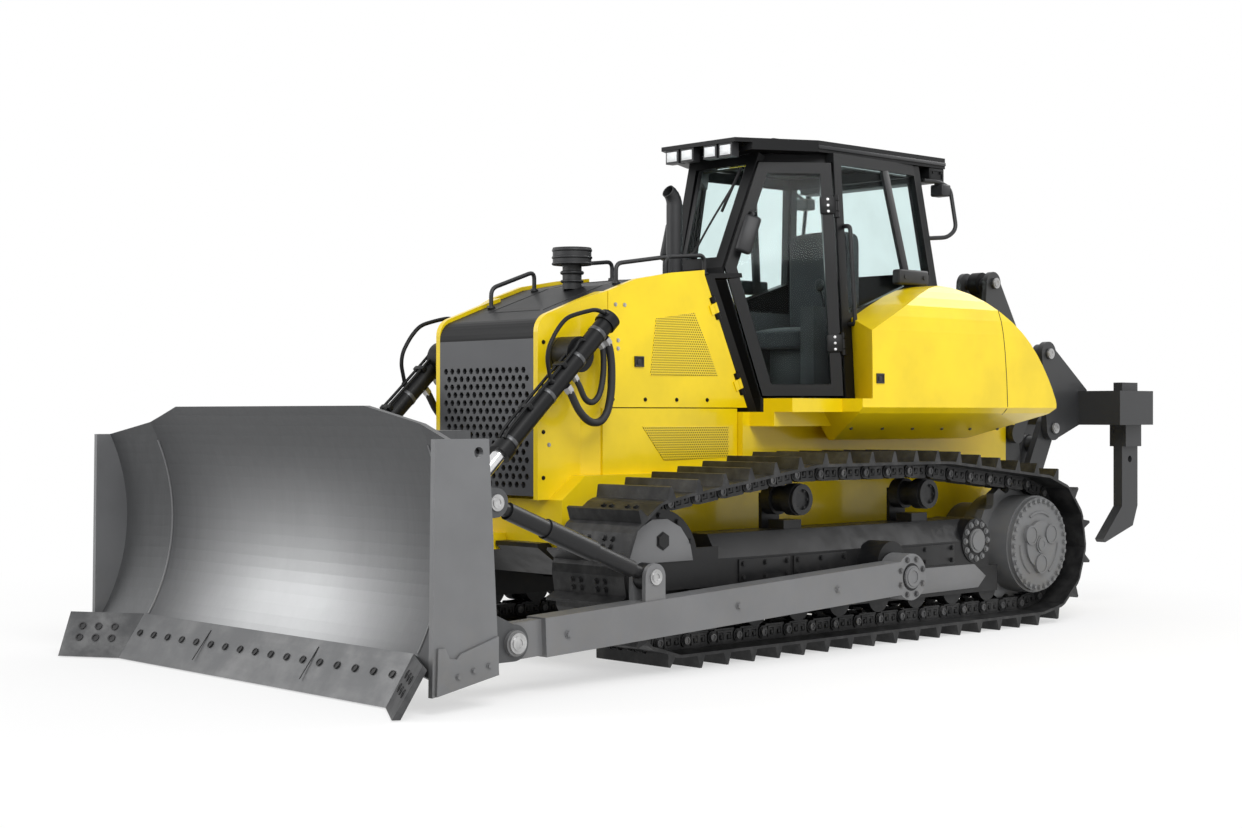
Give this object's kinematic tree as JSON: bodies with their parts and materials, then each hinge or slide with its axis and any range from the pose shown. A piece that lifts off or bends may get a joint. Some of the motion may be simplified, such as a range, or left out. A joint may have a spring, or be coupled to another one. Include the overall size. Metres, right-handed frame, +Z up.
{
  "type": "crawler bulldozer",
  "caption": "Crawler bulldozer on steel tracks with a semi-U push blade on outside arms, a hexagonal glazed cab and a parallelogram rear ripper.",
  "frame": {"origin": "middle of the box on the ground under the machine", "axes": "+Y to the rear, along the machine; +Z up; +X to the machine's left"},
  "size_m": [3.2786, 7.0341, 3.03],
  "materials": {
    "yellow_paint": "gloss paint",
    "black_paint": "satin paint",
    "grey_paint": "satin paint",
    "drive_paint": "satin paint",
    "dark_cast": "bare dark steel",
    "bare_steel": "worn",
    "chrome_rod": "ground chrome",
    "tinted_glass": "tinted",
    "lamp_lens": "clear lens",
    "cab_trim": "grained"
  },
  "bodies": {
    "tractor": {"main_frame": "yellow_paint", "belly_guard": "black_paint", "engine_block": "dark_cast", "grille": "black_paint", "hood_top": "black_paint", "side_panel_left": "yellow_paint", "side_panel_right": "yellow_paint", "pre_cleaner": "black_paint", "exhaust_stack": "black_paint", "grab_rails": "black_paint", "fender_left": "yellow_paint", "fender_right": "yellow_paint", "cab_floor": "black_paint", "cab_front": "black_paint", "cab_side_left": "black_paint", "cab_side_right": "black_paint", "cab_rear": "black_paint", "cab_roof": "black_paint", "cab_glass": "tinted_glass", "seat_base": "cab_trim", "consoles": "cab_trim", "work_lamps": "lamp_lens", "track_frame_left": "black_paint", "track_frame_right": "black_paint", "track_left": "dark_cast", "track_right": "dark_cast", "sprockets": "drive_paint", "idlers": "dark_cast", "track_rollers": "dark_cast", "carrier_rollers": "dark_cast", "pivot_shafts": "dark_cast", "equalizer_bar": "dark_cast", "lift_pivots": "black_paint", "ripper_towers": "grey_paint"},
    "left_door": {"cab_door_left": "black_paint", "door_glass_left": "tinted_glass"},
    "right_door": {"cab_door_right": "black_paint", "door_glass_right": "tinted_glass"},
    "left_engine_door": {"engine_door_left": "yellow_paint"},
    "right_engine_door": {"engine_door_right": "yellow_paint"},
    "blade": {"mouldboard": "grey_paint", "cutting_edge": "bare_steel", "end_bits": "bare_steel", "end_plate_left": "grey_paint", "end_plate_right": "grey_paint", "push_arm_left": "grey_paint", "push_arm_right": "grey_paint", "brace": "grey_paint", "tilt_cylinder": "grey_paint"},
    "lift_barrel_pair": {"lift_barrels": "black_paint"},
    "lift_rod_pair": {"lift_rods": "chrome_rod"},
    "ripper_lower_arm": {"ripper_arm": "grey_paint"},
    "ripper_upper_links": {"ripper_links": "grey_paint"},
    "ripper_tool": {"ripper_beam": "grey_paint", "ripper_shanks": "grey_paint"},
    "ripper_barrel_pair": {"ripper_barrels": "black_paint"},
    "ripper_rod_pair": {"ripper_rods": "chrome_rod"}
  },
  "joints": [
    {"name": "blade_lift", "type": "hinge", "parent": "tractor", "child": "blade", "pos_m": [0, 0.34223, 0.404], "axis": [-1, 0, 0], "range_deg": [-8.5, 18.5]},
    {"name": "lift_barrel_swing", "type": "hinge", "parent": "tractor", "child": "lift_barrel_pair", "pos_m": [0, -1.54177, 1.672], "axis": [-1, 0, 0], "range_deg": [-13.43, 29.23]},
    {"name": "lift_rod_slide", "type": "slide", "parent": "lift_barrel_pair", "child": "lift_rod_pair", "axis": [0, -0.7277, -0.6859], "range_m": [-0.63931, 0.29374]},
    {"name": "ripper_lift", "type": "hinge", "parent": "tractor", "child": "ripper_lower_arm", "pos_m": [0, 2.53823, 0.7], "axis": [-1, 0, 0], "range_deg": [0, 82]},
    {"name": "ripper_beam_pivot", "type": "hinge", "parent": "ripper_lower_arm", "child": "ripper_tool", "pos_m": [0, 2.82823, 1.25], "axis": [-1, 0, 0], "range_deg": [-82, 0]},
    {"name": "ripper_link_pivot", "type": "hinge", "parent": "tractor", "child": "ripper_upper_links", "pos_m": [0, 2.47823, 1.215], "axis": [-1, 0, 0], "range_deg": [0, 82]},
    {"name": "ripper_barrel_swing", "type": "hinge", "parent": "tractor", "child": "ripper_barrel_pair", "pos_m": [0, 2.27823, 2.235], "axis": [-1, 0, 0], "range_deg": [0, 0.82]},
    {"name": "ripper_rod_slide", "type": "slide", "parent": "ripper_barrel_pair", "child": "ripper_rod_pair", "axis": [0, 0.306, -0.952], "range_m": [0, 0.40073]},
    {"name": "left_door_hinge", "type": "hinge", "parent": "tractor", "child": "left_door", "pos_m": [0.79, 0.46823, 1.4403], "axis": [-0.1238, 0.0652, 0.9902], "range_deg": [0, 90]},
    {"name": "right_door_hinge", "type": "hinge", "parent": "tractor", "child": "right_door", "pos_m": [-0.79, 0.46823, 1.4403], "axis": [-0.1238, -0.0652, -0.9902], "range_deg": [0, 90]},
    {"name": "left_engine_door_hinge", "type": "hinge", "parent": "tractor", "child": "left_engine_door", "pos_m": [0.52, -0.12177, 1.386], "axis": [0, -0.4217, 0.9067], "range_deg": [0, 80]},
    {"name": "right_engine_door_hinge", "type": "hinge", "parent": "tractor", "child": "right_engine_door", "pos_m": [-0.52, -0.12177, 1.386], "axis": [0, 0.4217, -0.9067], "range_deg": [0, 80]}
  ],
  "couplings": [
    {"joint": "lift_barrel_swing", "follows": "blade_lift", "ratio": 1.58},
    {"joint": "lift_rod_slide", "follows": "blade_lift", "m_per_rad": -1.98},
    {"joint": "ripper_beam_pivot", "follows": "ripper_lift", "ratio": -1},
    {"joint": "ripper_link_pivot", "follows": "ripper_lift", "ratio": 1},
    {"joint": "ripper_barrel_swing", "follows": "ripper_lift", "ratio": 0.01},
    {"joint": "ripper_rod_slide", "follows": "ripper_lift", "m_per_rad": 0.28}
  ]
}
